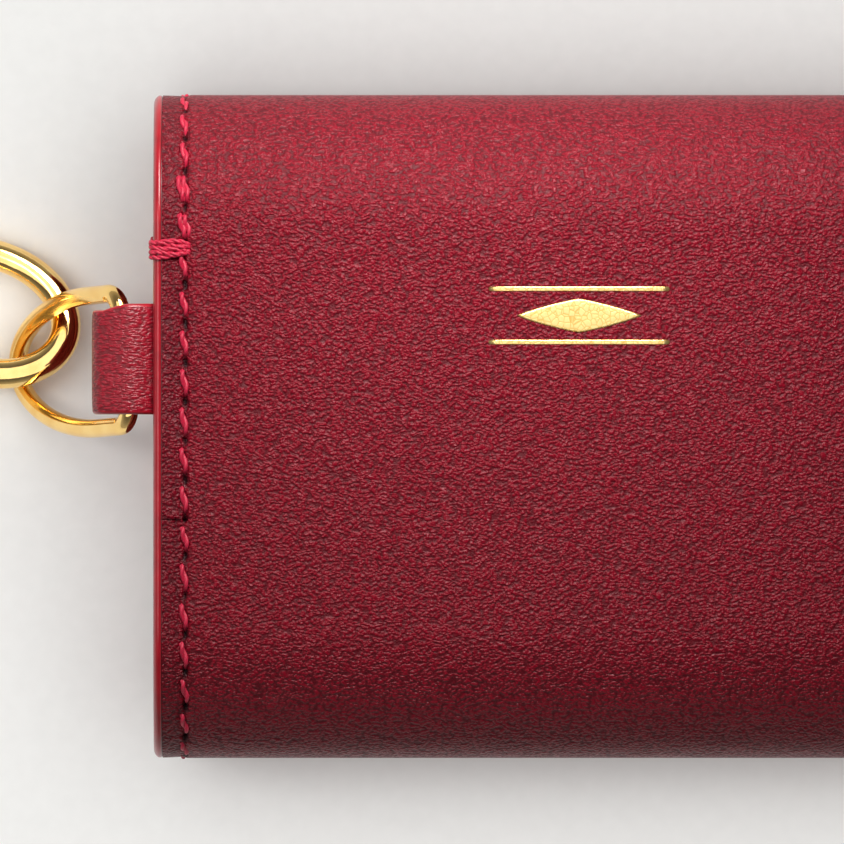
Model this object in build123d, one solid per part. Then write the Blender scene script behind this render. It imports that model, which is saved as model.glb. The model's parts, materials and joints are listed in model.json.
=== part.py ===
"""Gusseted flap card holder lying on its flap, with a D-ring tab and a spring-gate ring.

All sizes in millimetres. X runs along the holder's width, Y from the bottom fold up to the
top fold, Z from the flap's outer face (z = 0, the face it lies on) to the back panel's face.
"""

import os
from math import cos, radians, sin, sqrt

from build123d import *

os.makedirs("parts", exist_ok=True)

# ---- driving dimensions -------------------------------------------------------------
WIDTH = 96.0            # side edge to side edge
HEIGHT = 75.0           # bottom fold to top fold
DEPTH = 25.0            # flap face to back face
LEATHER = 1.0           # outer calf leather
PADDING = 0.4           # foam interlining under it
LINING = 0.6            # inner leather
WRAP = LEATHER + PADDING + LINING
FRONT_Z = 4.0           # outer face of the front panel, behind the flap
FLAP_END = -12.0        # y of the flap's free edge
MOUTH = 21.8            # y of the front panel's top edge
TOP_ARC = 17.0          # large radius of the folds, next to the flats
BOTTOM_ARC = 17.0

SEAM_IN = 3.5           # stitch line to side edge
THREAD = 0.8
GROOVE = 0.5            # the stitches lie this deep in the leather
SUNK = 0.06             # thread top below the face

FLANGE = 0.6            # gusset leather
FLANGE_IN = 4.2         # width of the gusset's turned-out flange
PLEAT_OUT = 47.3
PLEAT_IN = 44.2
DIVIDER = 0.8

TAB_TOP, TAB_BOTTOM = 13.85, 1.35
TAB_LEATHER = 0.9
TAB_DROOP = 18.0

RING_WIRE = 2.1         # D-ring wire
GATE_WIRE = 3.4         # spring-gate ring wire

SNAP_Y = -3.0

X0 = WIDTH / 2
Y0 = HEIGHT / 2
OUT = {}


def keep(name, solid):
    """Write one node, checked to be a single solid."""
    solids = solid.solids()
    if len(solids) != 1:
        raise ValueError(f"{name}: {len(solids)} solids")
    one = solids[0]
    one.label = name
    OUT[name] = one
    export_step(one, f"parts/{name}.step")


# ---- side profile: arcs of the wrap at a given depth under its outer face -------------
def arc_point(cy, cz, r, deg):
    return (cy + r * cos(radians(deg)), cz + r * sin(radians(deg)))


def arc_mid(cy, cz, r, a, b):
    return arc_point(cy, cz, r, (a + b) / 2)


class Fold:
    """A fold made of one large arc beside each flat and a smaller arc at the nose."""

    def __init__(self, z_low, z_high, nose_y, side, big):
        self.half = (z_high - z_low) / 2
        self.zc = (z_high + z_low) / 2
        self.side = side
        self.big = big
        self.small = (self.half - big * (1 - sin(radians(45)))) / sin(radians(45))
        self.reach = big * cos(radians(45)) + self.small * (1 - cos(radians(45)))
        self.flat_y = nose_y - side * self.reach
        self.nose_c = nose_y - side * self.small
        self.z_low, self.z_high = z_low, z_high

    def points(self, d, upper):
        """Start, middle, joint, middle and nose points of the upper or lower half."""
        s = 1 if upper else -1
        big_c = self.zc + s * (self.half - self.big)
        big, small = self.big - d, self.small - d

        def at(cy, cz, r, deg):
            return (cy + self.side * r * cos(radians(deg)), cz + s * r * sin(radians(deg)))

        return [
            at(self.flat_y, big_c, big, 90),
            at(self.flat_y, big_c, big, 67.5),
            at(self.flat_y, big_c, big, 45),
            at(self.nose_c, self.zc, small, 22.5),
            at(self.nose_c, self.zc, small, 0),
        ]


TOP = Fold(0.0, DEPTH, Y0, 1, TOP_ARC)
BOTTOM = Fold(FRONT_Z, DEPTH, -Y0, -1, BOTTOM_ARC)


def fold_edges(pts):
    a, b, c, d, e = [(0, y, z) for y, z in pts]
    return [ThreePointArc(a, b, c), ThreePointArc(c, d, e)]


def line(a, b):
    return Line((0, *a), (0, *b))


def back_path(d):
    """Edges from the bottom nose over the back to the top nose at depth d."""
    low, top = BOTTOM.points(d, True), TOP.points(d, True)
    return (
        fold_edges(low[::-1]) + [line(low[0], top[0])] + fold_edges(top),
        low[4],
        top[4],
    )


def flap_path(d):
    """Edges from the top nose down to the flap's free edge at depth d."""
    top = TOP.points(d, False)
    end = (FLAP_END, d)
    return fold_edges(top[::-1]) + [line(top[0], end)], top[4], end


def front_path(d, end_y=MOUTH):
    """Edges from the bottom nose up to the front panel's mouth at depth d."""
    low = BOTTOM.points(d, False)
    end = (end_y, FRONT_Z + d)
    return fold_edges(low[::-1]) + [line(low[0], end)], low[4], end


def layer(path, outer, inner, x_from, x_to):
    """One layer of the wrap between two depths, from x_from to x_to."""
    a, a0, a1 = path(outer)
    b, b0, b1 = path(inner)
    wire = Wire(list(a) + [line(a1, b1)] + list(b) + [line(b0, a0)])
    face = Face(wire)
    if face.normal_at().X < 0:
        face = -face
    return Pos(x_from, 0, 0) * extrude(face, x_to - x_from, dir=(1, 0, 0))


def box(x, y, z):
    """Box from three (low, high) pairs."""
    size = [b - a for a, b in (x, y, z)]
    mid = [(a + b) / 2 for a, b in (x, y, z)]
    return Pos(*mid) * Box(*size)


def rod(x, y, z_from, z_to, r):
    return Pos(x, y, (z_from + z_to) / 2) * Cylinder(r, z_to - z_from)


# ---- wrap leather, padding and lining --------------------------------------------------
INNER_X = X0 - 0.0


def wrap(name, path):
    leather = layer(path, 0, LEATHER, -X0, X0)
    padding = layer(path, LEATHER, LEATHER + PADDING, -INNER_X, INNER_X)
    lining = layer(path, LEATHER + PADDING, WRAP, -X0, X0)
    return leather, padding, lining


def side_grooves(path, depth=GROOVE, width=THREAD + 0.1):
    xs = X0 - SEAM_IN
    return [layer(path, -0.2, depth, s * xs - width / 2, s * xs + width / 2) for s in (-1, 1)]


def side_thread(path, s):
    xs = s * (X0 - SEAM_IN)
    return layer(path, SUNK, GROOVE, xs - THREAD / 2, xs + THREAD / 2)


def tack(z_face, z_under, up, y_mid):
    """Bar tack bound round the side edge: outer block and the C that is left of it."""
    half = 1.3
    lo, hi = (z_under, z_face) if up > 0 else (z_face, z_under)
    x_in = X0 - SEAM_IN - 0.4
    outer = box((-X0 + 0.0, -x_in), (y_mid - half, y_mid + half), (lo, hi))
    core = box((-X0 + 0.45, -x_in + 1), (y_mid - half - 1, y_mid + half + 1), (lo + 0.4, hi - 0.4))
    return outer - core


back_leather, back_padding, back_lining = wrap("back", back_path)
flap_leather, flap_padding, flap_lining = wrap("flap", flap_path)
front_leather, front_padding, front_lining = wrap("front", front_path)

for groove in side_grooves(back_path):
    back_leather -= groove
for s, side in ((-1, "left"), (1, "right")):
    keep(f"thread_back_{side}", side_thread(back_path, s))

# the tack lies flush in the leather face and the edge at the pocket's mouth
TACK_Y = MOUTH - 1.3
back_tack = tack(DEPTH, DEPTH - WRAP - FLANGE - 0.4, 1, TACK_Y)
front_tack = tack(FRONT_Z, FRONT_Z + WRAP + FLANGE + 0.4, -1, TACK_Y)

# ---- gussets ------------------------------------------------------------------------------
Z_FRONT_IN = FRONT_Z + WRAP
Z_BACK_IN = DEPTH - WRAP
ROOM = Z_BACK_IN - Z_FRONT_IN
GAP = (ROOM - 2 * DIVIDER) / 3
DIV_Z = [Z_FRONT_IN + GAP + DIVIDER / 2, Z_BACK_IN - GAP - DIVIDER / 2]


def u_region(depth):
    """Face of the pocket's side outline, from the mouth round the bottom fold."""
    a, a0, a1 = back_path(depth)
    low_b = BOTTOM.points(depth, True)
    low_f = BOTTOM.points(depth, False)
    edges = fold_edges(low_b[::-1]) + fold_edges(low_f)
    back_end = (MOUTH, DEPTH - depth)
    front_end = (MOUTH, FRONT_Z + depth)
    edges += [line(low_b[0], back_end), line(low_f[0], front_end), line(back_end, front_end)]
    face = Face(Wire(edges))
    if face.normal_at().X < 0:
        face = -face
    return face


def gusset_left():
    outer = extrude(u_region(WRAP), FLANGE_IN, dir=(1, 0, 0))
    inner = extrude(u_region(WRAP + FLANGE), FLANGE_IN + 2, dir=(1, 0, 0))
    band = Pos(-X0, 0, 0) * outer - Pos(-X0 - 1, 0, 0) * inner
    z = [Z_FRONT_IN + FLANGE - 0.05, (Z_FRONT_IN + DIV_Z[0]) / 2 + 0.3, DIV_Z[0],
         (DIV_Z[0] + DIV_Z[1]) / 2, DIV_Z[1], (Z_BACK_IN + DIV_Z[1]) / 2 - 0.3,
         Z_BACK_IN - FLANGE + 0.05]
    x = [-PLEAT_IN, -PLEAT_OUT, -PLEAT_IN, -PLEAT_OUT, -PLEAT_IN, -PLEAT_OUT, -PLEAT_IN]
    t = 0.6
    near = [(a, 0, b) for a, b in zip(x, z)]
    far = [(a + t, 0, b) for a, b in zip(x, z)][::-1]
    sheet = extrude(make_face(Polyline(*near, *far, close=True)), 80, dir=(0, -1, 0))
    sheet = Pos(0, MOUTH, 0) * sheet
    body = Pos(-X0, 0, 0) * extrude(u_region(WRAP + FLANGE - 0.02), 8, dir=(1, 0, 0))
    return band + (sheet & body)


gusset = gusset_left()

# ---- ring tab -----------------------------------------------------------------------------
TAB_Z = Z_BACK_IN - 0.6
D = radians(TAB_DROOP)


def tab_point(s, t):
    """Point in the drooping loop: s outwards from the edge, t across the loop."""
    return (-47.6 - s * cos(D) - t * sin(D), 0, TAB_Z - s * sin(D) + t * cos(D))


LOOP = 5.1
RI = 1.6
RO = RI + TAB_LEATHER
outer_edges = [
    Line((-44.3, 0, TAB_Z + 0.6), (-48.05, 0, TAB_Z + 0.6)),
    Line((-48.05, 0, TAB_Z + 0.6), tab_point(2.2, RO)),
    Line(tab_point(2.2, RO), tab_point(LOOP, RO)),
    ThreePointArc(tab_point(LOOP, RO), tab_point(LOOP + RO, 0), tab_point(LOOP, -RO)),
    Line(tab_point(LOOP, -RO), tab_point(2.2, -RO)),
    Line(tab_point(2.2, -RO), (-48.05, 0, TAB_Z - 0.6)),
    Line((-48.05, 0, TAB_Z - 0.6), (-44.3, 0, TAB_Z - 0.6)),
    Line((-44.3, 0, TAB_Z - 0.6), (-44.3, 0, TAB_Z + 0.6)),
]
inner_edges = [
    Line(tab_point(0.5, 0), tab_point(2.3, RI)),
    Line(tab_point(2.3, RI), tab_point(LOOP, RI)),
    ThreePointArc(tab_point(LOOP, RI), tab_point(LOOP + RI, 0), tab_point(LOOP, -RI)),
    Line(tab_point(LOOP, -RI), tab_point(2.3, -RI)),
    Line(tab_point(2.3, -RI), tab_point(0.5, 0)),
]
tab_face = Face(Wire(outer_edges))
hole_face = Face(Wire(inner_edges))


def along_y(face, y_from, y_to):
    return Pos(0, y_from, 0) * extrude(face, y_to - y_from, dir=(0, 1, 0))


tab = along_y(tab_face, TAB_BOTTOM, TAB_TOP) - along_y(hole_face, TAB_BOTTOM - 1, TAB_TOP + 1)
# the upper corner of the fold is squeezed in by the ring
corner = make_face(Polyline((-55.5, TAB_TOP - 1.1, 0), (-55.5, TAB_TOP + 1, 0),
                            (-51.5, TAB_TOP + 1, 0), (-51.5, TAB_TOP, 0), close=True))
tab -= extrude(corner, 40, dir=(0, 0, 1))

gusset -= box((-X0 - 1, -44.25), (TAB_BOTTOM - 0.1, TAB_TOP + 0.1), (TAB_Z - 0.62, TAB_Z + 1))

# ---- assemble the sewn layers at the tacks -------------------------------------------------
for s, side in ((-1, "left"), (1, "right")):
    b = back_tack if s < 0 else mirror(back_tack, about=Plane.YZ)
    f = front_tack if s < 0 else mirror(front_tack, about=Plane.YZ)
    g = gusset if s < 0 else mirror(gusset_left(), about=Plane.YZ)
    back_leather -= b
    back_padding -= b
    back_lining -= b
    front_leather -= f
    front_padding -= f
    front_lining -= f
    keep(f"bar_tack_back_{side}", b - OUT[f"thread_back_{side}"])
    keep(f"bar_tack_front_{side}", f)
    keep(f"gusset_{side}", g - b - f)

# ---- foil ornament on the back -------------------------------------------------------------
FOIL_Y = 12.5
DEBOSS, FOIL = 0.10, 0.05


def slab(points, z_from, z_to):
    face = make_face(Polyline(*[(x, y, 0) for x, y in points], close=True))
    return Pos(0, 0, z_from) * extrude(face, z_to - z_from, dir=(0, 0, 1))


def stamp(name, points):
    global back_leather
    back_leather -= slab(points, DEPTH - DEBOSS, DEPTH + 1)
    keep(name, slab(points, DEPTH - DEBOSS, DEPTH - DEBOSS + FOIL))


stamp("foil_lozenge", [(-7.0, FOIL_Y), (0, FOIL_Y + 1.9), (7.0, FOIL_Y), (0, FOIL_Y - 1.9)])
for name, s in (("foil_bar_top", 1), ("foil_bar_bottom", -1)):
    y = FOIL_Y + s * 3.0
    stamp(name, [(-10.2, y - 0.25), (10.2, y - 0.25), (10.2, y + 0.25), (-10.2, y + 0.25)])

keep("back_panel", back_leather)
keep("back_interlining", back_padding)
keep("back_lining", back_lining)
keep("ring_tab", tab)

# ---- magnetic snap, hidden from outside ----------------------------------------------------
SNAP_R = 6.5
flap_in = WRAP
cup_top = flap_in + 1.3
plate_top = FRONT_Z - 0.6
cup = rod(0, SNAP_Y, flap_in, cup_top, SNAP_R) - rod(0, SNAP_Y, flap_in - 1, cup_top - 0.3, SNAP_R - 0.3)
cup -= rod(0, SNAP_Y, flap_in - 1, cup_top + 1, 2.6)
legs = [box((s * 4.0 - 0.2, s * 4.0 + 0.2), (SNAP_Y - 1.2, SNAP_Y + 1.2), (LEATHER, cup_top - 0.1))
        for s in (-1, 1)]
slots = [box((s * 4.0 - 0.22, s * 4.0 + 0.22), (SNAP_Y - 1.22, SNAP_Y + 1.22), (LEATHER - 0, cup_top))
         for s in (-1, 1)]
magnet = rod(0, SNAP_Y, flap_in, cup_top - 0.3, SNAP_R - 0.35) - rod(0, SNAP_Y, 0, 5, 2.6)
washer = rod(0, SNAP_Y, LEATHER, LEATHER + PADDING, 5.5) - rod(0, SNAP_Y, 0, 5, 1.6)
for leg, slot in zip(legs, slots):
    cup += leg
    magnet -= slot
    washer -= slot
    flap_lining -= slot
flap_padding -= rod(0, SNAP_Y, LEATHER - 0.1, LEATHER + PADDING + 0.1, 5.5)
keep("magnet_cup", cup)
keep("magnet", magnet)
keep("magnet_washer", washer)

plate = rod(0, SNAP_Y, plate_top, FRONT_Z, SNAP_R)
plate = chamfer(plate.edges().group_by(Axis.Z)[0], 0.3)
plate += rod(0, SNAP_Y, plate_top - 1.2, plate_top + 0.1, 2.0)
front_washer = rod(0, SNAP_Y, FRONT_Z + LEATHER, FRONT_Z + LEATHER + PADDING, 5.5)
front_washer -= rod(0, SNAP_Y, 0, 9, 1.6)
for s in (-1, 1):
    leg = box((s * 3.4 - 0.2, s * 3.4 + 0.2), (SNAP_Y - 1.2, SNAP_Y + 1.2),
              (FRONT_Z - 0.1, FRONT_Z + LEATHER + PADDING))
    plate += leg
    slot = box((s * 3.4 - 0.22, s * 3.4 + 0.22), (SNAP_Y - 1.22, SNAP_Y + 1.22),
               (FRONT_Z - 0.2, FRONT_Z + LEATHER + PADDING))
    front_leather -= slot
    front_washer -= slot
front_padding -= rod(0, SNAP_Y, FRONT_Z + LEATHER - 0.1, FRONT_Z + LEATHER + PADDING + 0.1, 5.5)
keep("snap_plate", plate)
keep("snap_washer", front_washer)

# ---- flap: U of stitches round the free edge -----------------------------------------------
xs = X0 - SEAM_IN
ys = FLAP_END + SEAM_IN
flap_thread = side_thread(flap_path, -1) + side_thread(flap_path, 1)
flap_grooves = side_grooves(flap_path)
trim = box((-X0 - 1, X0 + 1), (FLAP_END - 1, ys - THREAD / 2), (-1, 3))
flap_thread -= trim
flap_thread += box((-xs - THREAD / 2, xs + THREAD / 2), (ys - THREAD / 2, ys + THREAD / 2),
                   (SUNK, GROOVE))
gw = THREAD / 2 + 0.05
for g in flap_grooves:
    flap_leather -= g - box((-X0 - 1, X0 + 1), (FLAP_END - 1, ys - gw), (-1, 3))
flap_leather -= box((-xs - gw, xs + gw), (ys - gw, ys + gw), (-1, GROOVE))
keep("thread_flap", flap_thread)


def rounded_end(part, y_end, z, r, side):
    """Round the two corners of a panel's free edge in plan."""
    for s in (-1, 1):
        cx, cy = s * (X0 - r), y_end - side * r
        part -= (box(sorted((s * (X0 - r), s * (X0 + 1))), sorted((cy, y_end + side)), z)
                 - rod(cx, cy, z[0] - 1, z[1] + 1, r))
    return part


CORNER = 3.2
zf = (-1, 3.5)
flap_leather = rounded_end(flap_leather, FLAP_END, zf, CORNER, -1)
flap_padding = rounded_end(flap_padding, FLAP_END, zf, CORNER, -1)
flap_lining = rounded_end(flap_lining, FLAP_END, zf, CORNER, -1)
keep("flap_panel", flap_leather)
keep("flap_interlining", flap_padding)
keep("flap_lining", flap_lining)

# ---- front panel -----------------------------------------------------------------------------
yt = MOUTH - SEAM_IN
front_thread = side_thread(front_path, -1) + side_thread(front_path, 1)
over = box((-X0 - 1, X0 + 1), (yt + THREAD / 2, MOUTH + 1), (FRONT_Z - 1, FRONT_Z + 3))
front_thread -= over
front_thread += box((-xs - THREAD / 2, xs + THREAD / 2), (yt - THREAD / 2, yt + THREAD / 2),
                    (FRONT_Z + SUNK, FRONT_Z + GROOVE))
for g in side_grooves(front_path):
    front_leather -= g - box((-X0 - 1, X0 + 1), (yt + gw, MOUTH + 1), (FRONT_Z - 1, FRONT_Z + 3))
front_leather -= box((-xs - gw, xs + gw), (yt - gw, yt + gw), (FRONT_Z - 1, FRONT_Z + GROOVE))
for s, side in ((-1, "left"), (1, "right")):
    front_thread -= OUT[f"bar_tack_front_{side}"]
keep("thread_front", front_thread)
keep("front_panel", front_leather)
keep("front_interlining", front_padding)
keep("front_lining", front_lining)

# ---- dividers between the three card pockets ---------------------------------------------
DIV_TOP, DIV_BOTTOM = 18.0, -34.0
DIV_X = 43.3
for name, zc, inner in (("divider_front", DIV_Z[0], 1), ("divider_back", DIV_Z[1], -1)):
    d = box((-DIV_X, DIV_X), (DIV_BOTTOM, DIV_TOP), (zc - DIVIDER / 2, zc + DIVIDER / 2))
    d = fillet(d.edges().filter_by(Axis.Z), 3.0)
    keep(name, d)

# ---- D-ring ------------------------------------------------------------------------------
SLOPE = 58.3            # the ring hangs down this steeply from the tab to the ground
TURN = 5.0
BAR = Vector(-51.2, 7.6, 21.15)
V = Vector(-sin(radians(TURN)), cos(radians(TURN)), 0)
PLAN = Vector(-cos(radians(TURN)), -sin(radians(TURN)), 0)
U = PLAN * cos(radians(SLOPE)) + Vector(0, 0, -sin(radians(SLOPE)))
ring_plane = Plane(origin=BAR, x_dir=U, z_dir=U.cross(V))
UC = 3.7 / cos(radians(SLOPE))
UA = 8.7 / cos(radians(SLOPE))
VA = 7.5
CR = 2.4
STRAIGHT = VA - CR
k = CR * sqrt(0.5)
ring_edges = [
    Line((0, -STRAIGHT), (0, STRAIGHT)),
    ThreePointArc((0, STRAIGHT), (CR - k, STRAIGHT + k), (CR, VA)),
    Line((CR, VA), (UC, VA)),
    Spline(*[(UC + UA * sin(radians(a)), VA * cos(radians(a))) for a in range(0, 181, 15)],
           tangents=[(1, 0), (-1, 0)]),
    Line((UC, -VA), (CR, -VA)),
    ThreePointArc((CR, -VA), (CR - k, -STRAIGHT - k), (0, -STRAIGHT)),
]
ring_wire = Wire([ring_plane * e for e in ring_edges])
section = Plane(origin=BAR, z_dir=V) * Circle(RING_WIRE / 2)
keep("d_ring", sweep(section, path=ring_wire))

# ---- spring-gate ring -----------------------------------------------------------------------
GATE_A, GATE_B = 9.6, 6.75
GC = Vector(-67.43, 12.95, 3.20)
TILT_X, TILT_Y = 0.03, -0.20
n = Vector(-TILT_X, -TILT_Y, 1).normalized()
flat = Vector(cos(radians(-20)), sin(radians(-20)), 0)
P = (flat - n * flat.dot(n)).normalized()
gate_plane = Plane(origin=GC, x_dir=P, z_dir=n)


def oval(deg):
    return (GATE_A * cos(radians(deg)), GATE_B * sin(radians(deg)))


def oval_tangent(deg):
    t = Vector(-GATE_A * sin(radians(deg)), GATE_B * cos(radians(deg)), 0)
    return t.normalized()


def tube(start, stop):
    """Round wire following the oval between two angles, in the ring's own plane."""
    path = Edge.make_ellipse(GATE_A, GATE_B, start_angle=start, end_angle=stop)
    at = Plane(origin=path @ 0, z_dir=path % 0)
    return sweep(at * Circle(GATE_WIRE / 2), path=path)


PIVOT, CATCH = 128.0, 214.0
px, py = oval(PIVOT)
tx, ty = oval_tangent(PIVOT).X, oval_tangent(PIVOT).Y
cx, cy = oval(CATCH)
REACH = sqrt((cx - px) ** 2 + (cy - py) ** 2)
turn = oval_tangent(PIVOT)
local = Plane(origin=(px, py, 0), x_dir=turn, z_dir=(0, 0, 1))
CHEEK = 0.65            # half width of the slot in the ring's end
TONGUE = 0.58


def pivot_rod(r, half):
    return Pos(px, py, 0) * Cylinder(r, 2 * half)


def local_box(t, w, h):
    size = [b - a for a, b in (t, w, h)]
    mid = [(a + b) / 2 for a, b in (t, w, h)]
    return local * (Pos(*mid) * Box(*size))


def oval_point(deg, r):
    return (r * cos(radians(deg)), r * sin(radians(deg)), 0)


gate_side = tube(PIVOT - 30, CATCH + 12)
ahead = local_box((0, 20), (-20, 20), (-4, 4))
ROOT = GATE_WIRE / 2        # ring and gate meet on a curve round the pivot, so the gate can swing
body_gate = (gate_side & local_box((0.9, 20), (-20, 20), (-4, 4))) - pivot_rod(ROOT + 0.15, 4)
body_gate = body_gate & pivot_rod(REACH, 4)
tongue = gate_side & local_box((-1.35, 2.4), (-20, 20), (-TONGUE, TONGUE)) & (
    pivot_rod(1.35, 3) + local_box((0, 2.4), (-1.3, 1.3), (-3, 3)))
gate = body_gate + tongue
gate -= pivot_rod(0.5, 4)

ring = tube(CATCH - 30, 360 + PIVOT + 12)
catch_zone = pivot_rod(REACH + 0.15, 4)
near_catch = Pos(cx, cy, 0) * Box(9, 9, 8)
pivot_end = local_box((0, 20), (-20, 20), (-4, 4)) - pivot_rod(ROOT, 4)
near_pivot = Pos(px, py, 0) * Box(9, 9, 8)
ring -= catch_zone & near_catch
ring -= pivot_end & near_pivot
ring -= local_box((-1.5, 6), (-3, 3), (-CHEEK, CHEEK)) & near_pivot
ring = max(ring.solids(), key=lambda s: s.volume)
ring -= pivot_rod(0.45, 4)
# small spring box behind the slot
ring -= local_box((-4.4, -1.4), (-0.75, 0.75), (-0.5, 0.5))
spring = local_box((-4.3, -1.65), (0.30, 0.55), (-0.4, 0.4)) + local_box(
    (-4.3, -4.05), (-0.6, 0.55), (-0.4, 0.4)) + local_box((-4.3, -1.9), (-0.6, -0.35), (-0.4, 0.4))
pin = pivot_rod(0.45, 1.35)

keep("gate_ring", gate_plane * ring)
keep("gate", gate_plane * gate)
keep("gate_pin", gate_plane * pin)
keep("gate_spring", gate_plane * spring)

print("dividers z", DIV_Z, "gap", GAP)
print("gate pivot", gate_plane.from_local_coords((px, py, 0)), "normal", n)
print("ring low", OUT["gate_ring"].bounding_box().min.Z, OUT["d_ring"].bounding_box().min.Z)
print("far arc", BAR + U * (UC + UA), "axis", V)
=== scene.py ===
# %% [markdown]
# # A gusseted card holder in red calf
#
# The holder lies on its flap, with the back of the wrap facing up. One strip of leather makes
# the back, both folds, the flap and the front; pleated gussets close the sides; a leather tab
# holds a D-ring and a sprung ring. This first cell loads the imported model, which gives every
# size and place used below, and keeps its box, which sets the floor's height.

# %% Load the frame
import json
import math

import bmesh
import bpy
import numpy as np
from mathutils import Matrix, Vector

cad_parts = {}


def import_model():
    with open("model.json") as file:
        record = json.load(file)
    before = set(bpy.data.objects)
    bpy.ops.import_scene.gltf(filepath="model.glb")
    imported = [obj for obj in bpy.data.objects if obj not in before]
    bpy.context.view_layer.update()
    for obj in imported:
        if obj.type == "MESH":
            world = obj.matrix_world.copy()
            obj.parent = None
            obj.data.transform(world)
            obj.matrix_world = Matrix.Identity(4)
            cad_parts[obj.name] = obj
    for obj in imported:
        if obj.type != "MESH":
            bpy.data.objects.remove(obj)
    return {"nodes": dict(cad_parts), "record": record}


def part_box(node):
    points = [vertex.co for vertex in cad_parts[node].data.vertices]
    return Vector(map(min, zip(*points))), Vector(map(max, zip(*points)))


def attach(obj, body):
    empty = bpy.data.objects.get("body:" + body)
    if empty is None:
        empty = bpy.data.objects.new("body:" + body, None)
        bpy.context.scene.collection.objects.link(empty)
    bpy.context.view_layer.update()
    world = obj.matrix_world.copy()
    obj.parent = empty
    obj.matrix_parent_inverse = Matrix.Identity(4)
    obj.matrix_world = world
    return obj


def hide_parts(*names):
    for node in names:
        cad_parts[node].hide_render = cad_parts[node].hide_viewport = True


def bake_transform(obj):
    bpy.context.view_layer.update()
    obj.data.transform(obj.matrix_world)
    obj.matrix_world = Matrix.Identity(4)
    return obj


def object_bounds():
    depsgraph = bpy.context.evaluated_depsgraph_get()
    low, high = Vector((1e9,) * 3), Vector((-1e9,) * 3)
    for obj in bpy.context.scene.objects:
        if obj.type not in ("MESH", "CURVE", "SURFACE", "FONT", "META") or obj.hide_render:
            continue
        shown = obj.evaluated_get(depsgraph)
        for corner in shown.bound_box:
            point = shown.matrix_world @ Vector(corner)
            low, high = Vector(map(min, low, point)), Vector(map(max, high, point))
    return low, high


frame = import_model()
cad_box = [[float(c) for c in corner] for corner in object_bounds()]
MM = 0.001
print("model box in mm", [[round(c / MM, 1) for c in corner] for corner in cad_box])

# %% [markdown]
# ## Sizes
#
# The layers and folds are read back from the model's own boxes, so the visible leather always
# lies where the model's leather is. Everything is worked out in millimetres and turned into
# metres when a mesh is made.

# %% Read sizes from the model


def box_mm(node):
    return [[c / MM for c in corner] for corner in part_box(node)]


back_lo, back_hi = box_mm("back_panel")
flap_lo = box_mm("flap_panel")[0]
front_lo, front_hi = box_mm("front_panel")
HALF_W = back_hi[0]
NOSE_TOP, NOSE_BOTTOM = back_hi[1], back_lo[1]
Z_BACK = back_hi[2]
Z_FRONT = front_lo[2]
FLAP_END = flap_lo[1]
MOUTH = front_hi[1]
WRAP = 2.0            # leather, foam and lining together
FLANGE = 0.6          # gusset leather
BIG = 17.0            # fold radius beside the flats
SEAM_IN = 3.5         # from the leather's edge to the stitch line
SEAM = HALF_W - SEAM_IN
PITCH = 4.4           # from hole to hole
CUT_Y = -10.4         # where the upper and lower halves of the wrap meet
print("half width", HALF_W, "back face", Z_BACK, "front face", Z_FRONT, "mouth", MOUTH)

# %% [markdown]
# ## Finishes
#
# Each finish is one material built from nodes. A single helper adds a node, sets its
# properties and values, and links its inputs. Colours are written as sRGB hex, the way a
# colour picker shows them, and turned to the linear values that Blender works in.

# %% Node and colour helpers


def linear(code):
    """sRGB hex to the linear colour that Blender mixes light in."""
    parts = [int(code[i : i + 2], 16) / 255 for i in (1, 3, 5)]
    return (*[c / 12.92 if c <= 0.04045 else ((c + 0.055) / 1.055) ** 2.4 for c in parts], 1.0)


def add(tree, kind, values=None, links=None, stops=(), **settings):
    """Add a node with its settings, input values, links and, on a ramp, (place, hex) stops."""
    node = tree.nodes.new(kind)
    for name, value in settings.items():
        setattr(node, name, value)
    for _ in stops[2:]:
        node.color_ramp.elements.new(0.5)
    for k, (place, code) in enumerate(stops):
        node.color_ramp.elements[k].position = place
        node.color_ramp.elements[k].color = linear(code)
    for name, value in (values or {}).items():
        node.inputs[name].default_value = value
    for name, source in (links or {}).items():
        tree.links.new(source, node.inputs[name])
    return node


def finish(name, **values):
    """A new material, its tree and its surface node; values name inputs with _ for a space."""
    material = bpy.data.materials.new(name)
    material.use_nodes = True
    tree = material.node_tree
    surface = tree.nodes["Principled BSDF"]
    for key, value in values.items():
        surface.inputs[key.replace("_", " ")].default_value = value
    return material, tree, surface


def connect(tree, surface, **sources):
    """Link node outputs to the surface's inputs, named with _ for a space."""
    for key, source in sources.items():
        tree.links.new(source, surface.inputs[key.replace("_", " ")])


def millimetres(tree, stretch=(1, 1, 1)):
    """Object coordinates in millimetres, divided along each axis by stretch."""
    place = add(tree, "ShaderNodeTexCoord")
    scale = [1 / (MM * s) for s in stretch]
    turned = add(tree, "ShaderNodeMapping", {"Scale": scale}, {"Vector": place.outputs["Object"]})
    return turned.outputs["Vector"]


# %% [markdown]
# ### Calf leather
#
# Chrome-tanned calf, drum-dyed a deep red and left with its own fine grain. Calf has small
# grain: rounded bumps a third of a millimetre across, drawn out a little along the hide, with
# soft hair-line wrinkles over them. Dye gathers in the valleys, and their colour is also painted
# darker as shade; the tops are slightly polished by handling, so they shine more. Holes and
# pressed grooves carry a shade value on the mesh, which paints shade into them; the strip outside
# the seam is darkened a little by it too.

# %% Calf leather material


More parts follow.
